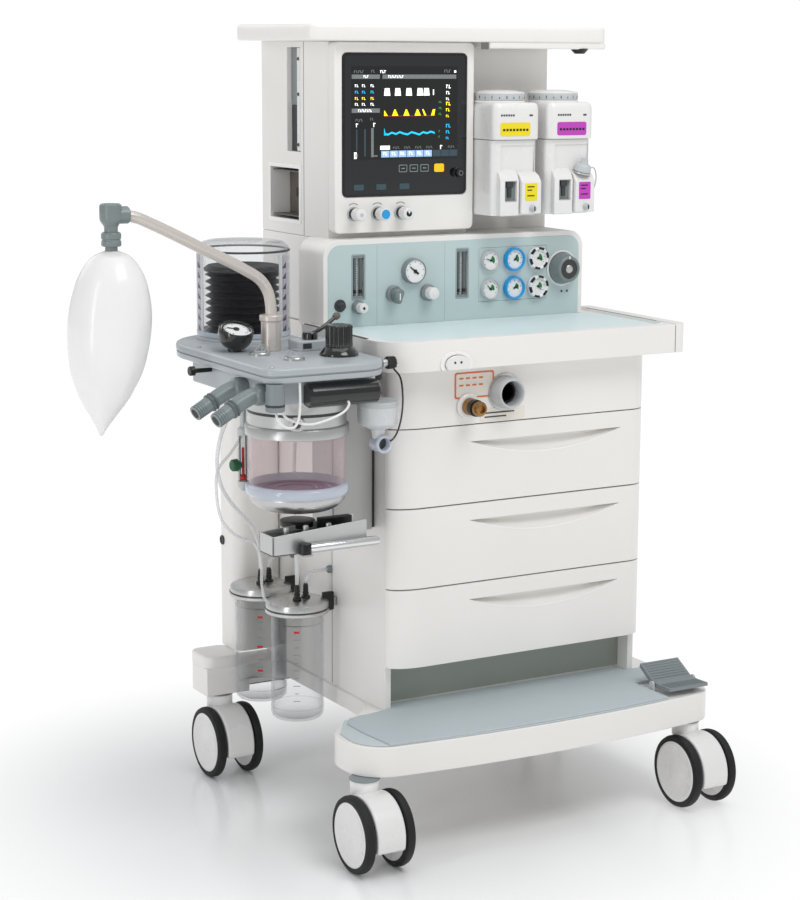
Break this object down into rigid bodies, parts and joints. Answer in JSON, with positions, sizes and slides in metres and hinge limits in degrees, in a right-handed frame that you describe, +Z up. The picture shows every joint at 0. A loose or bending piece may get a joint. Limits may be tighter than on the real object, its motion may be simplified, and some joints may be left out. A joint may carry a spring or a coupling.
{
  "type": "anesthesia machine",
  "caption": "Wheeled anesthesia machine with drawers, work surface, screen tower, vaporizers, and a side breathing system.",
  "frame": {"origin": "on the floor, under the middle of the whole machine's box", "axes": "+Z up, -Y the front with the drawers and the screen, +X the machine's right; the breathing system is on -X"},
  "size_m": [1.113, 0.7454, 1.3692],
  "materials": {
    "shell": "satin moulded plastic, warm off-white",
    "footrest": "ribbed matt grey-blue mat",
    "white_plastic": "smooth white plastic",
    "tyre": "matt black tread with white wheel discs",
    "teal": "satin pale teal",
    "grey_plastic": "satin blue-grey",
    "black_plastic": "moulded black",
    "bellows_rubber": "matt black rubber",
    "screen_glass": "polished black front pane",
    "brass": "dull brass",
    "silver": "satin cast metal",
    "polished_steel": "satin steel rod",
    "beige_metal": "warm grey enamel",
    "clear_plastic": "polished clear",
    "bag_silicone": "translucent white silicone",
    "hose": "translucent tubing"
  },
  "bodies": {
    "castor_front_left": {"castor_fork_front_left": "white_plastic"},
    "wheels_front_left": {"castor_wheels_front_left": "tyre"},
    "castor_front_right": {"castor_fork_front_right": "white_plastic"},
    "wheels_front_right": {"castor_wheels_front_right": "tyre"},
    "castor_rear_left": {"castor_fork_rear_left": "white_plastic"},
    "wheels_rear_left": {"castor_wheels_rear_left": "tyre"},
    "castor_rear_right": {"castor_fork_rear_right": "white_plastic"},
    "wheels_rear_right": {"castor_wheels_rear_right": "tyre"},
    "drawer_top": {"drawer_top": "shell"},
    "drawer_middle": {"drawer_middle": "shell"},
    "drawer_bottom": {"drawer_bottom": "shell"},
    "brake_pedal": {"brake_pedal": "footrest"},
    "oxygen_flush_button": {"oxygen_flush_button": "white_plastic"},
    "auxiliary_flow_knob": {"auxiliary_flow_knob": "white_plastic"},
    "suction_selector_knob": {"suction_selector_knob": "grey_plastic"},
    "vacuum_knob": {"vacuum_knob": "white_plastic"},
    "system_switch": {"system_switch": "grey_plastic"},
    "fresh_gas_knob_left": {"fresh_gas_knob_left": "white_plastic"},
    "fresh_gas_knob_middle": {"fresh_gas_knob_middle": "white_plastic"},
    "fresh_gas_knob_right": {"fresh_gas_knob_right": "white_plastic"},
    "menu_knob": {"menu_knob": "black_plastic"},
    "vaporizer_dial_left": {"vaporizer_dial_left": "grey_plastic"},
    "vaporizer_dial_right": {"vaporizer_dial_right": "grey_plastic"},
    "apl_knob": {"apl_knob": "black_plastic"},
    "bag_vent_lever": {"bag_vent_lever": "black_plastic"},
    "bag_arm": {"bag_arm": "beige_metal", "breathing_bag": "bag_silicone"},
    "bellows_disc": {"bellows_disc": "black_plastic"},
    "lock_handle": {"lock_handle": "polished_steel"},
    "absorber_canister": {"absorber_canister": "clear_plastic"},
    "machine": {"base_frame": "shell", "footrest_mat": "footrest", "cabinet_body": "shell", "fresh_gas_outlet": "white_plastic", "oxygen_outlet": "brass", "work_surface": "shell", "control_panel": "teal", "vacuum_gauge": "white_plastic", "supply_gauges": "white_plastic", "monitor_bezel": "shell", "monitor_glass": "screen_glass", "tower_body": "shell", "top_shelf": "shell", "vaporizer_left": "white_plastic", "vaporizer_right": "white_plastic", "breathing_plate": "grey_plastic", "airway_gauge": "black_plastic", "bellows_dome": "clear_plastic", "bellows": "bellows_rubber", "absorber_head": "silver", "expiratory_port": "grey_plastic", "inspiratory_port": "grey_plastic", "oxygen_sensor": "grey_plastic", "water_trap": "white_plastic", "suction_jar_front": "clear_plastic", "jar_lid_front": "silver", "suction_jar_rear": "clear_plastic", "jar_lid_rear": "silver", "suction_hose_front": "hose", "suction_hose_rear": "hose"}
  },
  "joints": [
    {"name": "castor_front_left_swivel", "type": "hinge", "parent": "machine", "child": "castor_front_left", "pos_m": [-0.15251, -0.27632, 0.1392], "axis": [0, 0, 1], "continuous": true},
    {"name": "castor_front_left_roll", "type": "hinge", "parent": "castor_front_left", "child": "wheels_front_left", "pos_m": [-0.15251, -0.30832, 0.0642], "axis": [1, 0, 0], "continuous": true},
    {"name": "castor_front_right_swivel", "type": "hinge", "parent": "machine", "child": "castor_front_right", "pos_m": [0.50449, -0.27632, 0.1392], "axis": [0, 0, 1], "continuous": true},
    {"name": "castor_front_right_roll", "type": "hinge", "parent": "castor_front_right", "child": "wheels_front_right", "pos_m": [0.50449, -0.30832, 0.0642], "axis": [1, 0, 0], "continuous": true},
    {"name": "castor_rear_left_swivel", "type": "hinge", "parent": "machine", "child": "castor_rear_left", "pos_m": [-0.15351, 0.28668, 0.1392], "axis": [0, 0, 1], "continuous": true},
    {"name": "castor_rear_left_roll", "type": "hinge", "parent": "castor_rear_left", "child": "wheels_rear_left", "pos_m": [-0.15351, 0.25468, 0.0642], "axis": [1, 0, 0], "continuous": true},
    {"name": "castor_rear_right_swivel", "type": "hinge", "parent": "machine", "child": "castor_rear_right", "pos_m": [0.51049, 0.28668, 0.1392], "axis": [0, 0, 1], "continuous": true},
    {"name": "castor_rear_right_roll", "type": "hinge", "parent": "castor_rear_right", "child": "wheels_rear_right", "pos_m": [0.51049, 0.25468, 0.0642], "axis": [1, 0, 0], "continuous": true},
    {"name": "drawer_top_slide", "type": "slide", "parent": "machine", "child": "drawer_top", "axis": [0, -1, 0], "range_m": [0, 0.3]},
    {"name": "drawer_middle_slide", "type": "slide", "parent": "machine", "child": "drawer_middle", "axis": [0, -1, 0], "range_m": [0, 0.3]},
    {"name": "drawer_bottom_slide", "type": "slide", "parent": "machine", "child": "drawer_bottom", "axis": [0, -1, 0], "range_m": [0, 0.3]},
    {"name": "brake_pedal_rock", "type": "hinge", "parent": "machine", "child": "brake_pedal", "pos_m": [0.49349, -0.24932, 0.2112], "axis": [1, 0, 0], "range_deg": [-6, 6]},
    {"name": "oxygen_flush_press", "type": "slide", "parent": "machine", "child": "oxygen_flush_button", "axis": [0, 1, 0], "range_m": [0, 0.0035], "stiffness_N_per_m": 500},
    {"name": "auxiliary_flow_knob_turn", "type": "hinge", "parent": "machine", "child": "auxiliary_flow_knob", "pos_m": [0.02249, 0.06268, 0.8802], "axis": [0, -1, 0], "range_deg": [0, 720]},
    {"name": "suction_selector_knob_turn", "type": "hinge", "parent": "machine", "child": "suction_selector_knob", "pos_m": [0.09449, 0.06268, 0.9002], "axis": [0, -1, 0], "range_deg": [-60, 60]},
    {"name": "vacuum_knob_turn", "type": "hinge", "parent": "machine", "child": "vacuum_knob", "pos_m": [0.16449, 0.06268, 0.8992], "axis": [0, -1, 0], "range_deg": [0, 720]},
    {"name": "system_switch_turn", "type": "hinge", "parent": "machine", "child": "system_switch", "pos_m": [0.45349, 0.06268, 0.9302], "axis": [0, -1, 0], "range_deg": [0, 90]},
    {"name": "fresh_gas_knob_left_turn", "type": "hinge", "parent": "machine", "child": "fresh_gas_knob_left", "pos_m": [0.02449, 0.07768, 1.0422], "axis": [0, -1, 0], "range_deg": [0, 720]},
    {"name": "fresh_gas_knob_middle_turn", "type": "hinge", "parent": "machine", "child": "fresh_gas_knob_middle", "pos_m": [0.07249, 0.07768, 1.0422], "axis": [0, -1, 0], "range_deg": [0, 720]},
    {"name": "fresh_gas_knob_right_turn", "type": "hinge", "parent": "machine", "child": "fresh_gas_knob_right", "pos_m": [0.11949, 0.07768, 1.0422], "axis": [0, -1, 0], "range_deg": [0, 720]},
    {"name": "menu_knob_turn", "type": "hinge", "parent": "machine", "child": "menu_knob", "pos_m": [0.23549, 0.08268, 1.1102], "axis": [0, -1, 0], "continuous": true},
    {"name": "vaporizer_dial_left_turn", "type": "hinge", "parent": "machine", "child": "vaporizer_dial_left", "pos_m": [0.32149, 0.08768, 1.2492], "axis": [0, 0, 1], "range_deg": [0, 270]},
    {"name": "vaporizer_dial_right_turn", "type": "hinge", "parent": "machine", "child": "vaporizer_dial_right", "pos_m": [0.43749, 0.08768, 1.2492], "axis": [0, 0, 1], "range_deg": [0, 270]},
    {"name": "apl_knob_turn", "type": "hinge", "parent": "machine", "child": "apl_knob", "pos_m": [-0.13151, -0.14932, 0.8592], "axis": [0, 0, 1], "range_deg": [0, 300]},
    {"name": "bag_vent_lever_turn", "type": "hinge", "parent": "machine", "child": "bag_vent_lever", "pos_m": [-0.14051, -0.06232, 0.8552], "axis": [0, 0, 1], "range_deg": [0, 90]},
    {"name": "bag_arm_swivel", "type": "hinge", "parent": "machine", "child": "bag_arm", "pos_m": [-0.20351, -0.04332, 0.8592], "axis": [0, 0, 1], "range_deg": [-40, 20]},
    {"name": "bellows_travel", "type": "slide", "parent": "machine", "child": "bellows_disc", "axis": [0, 0, -1], "range_m": [0, 0.085], "deforming": ["bellows"]},
    {"name": "lock_handle_turn", "type": "hinge", "parent": "machine", "child": "lock_handle", "pos_m": [-0.22751, -0.21132, 0.5282], "axis": [0, 0, -1], "range_deg": [0, 80]},
    {"name": "absorber_canister_drop", "type": "slide", "parent": "machine", "child": "absorber_canister", "axis": [0, 0, -1], "range_m": [0, 0.0085]}
  ],
  "couplings": [
    {"joint": "absorber_canister_drop", "follows": "lock_handle_turn", "m_per_rad": 0.006}
  ]
}
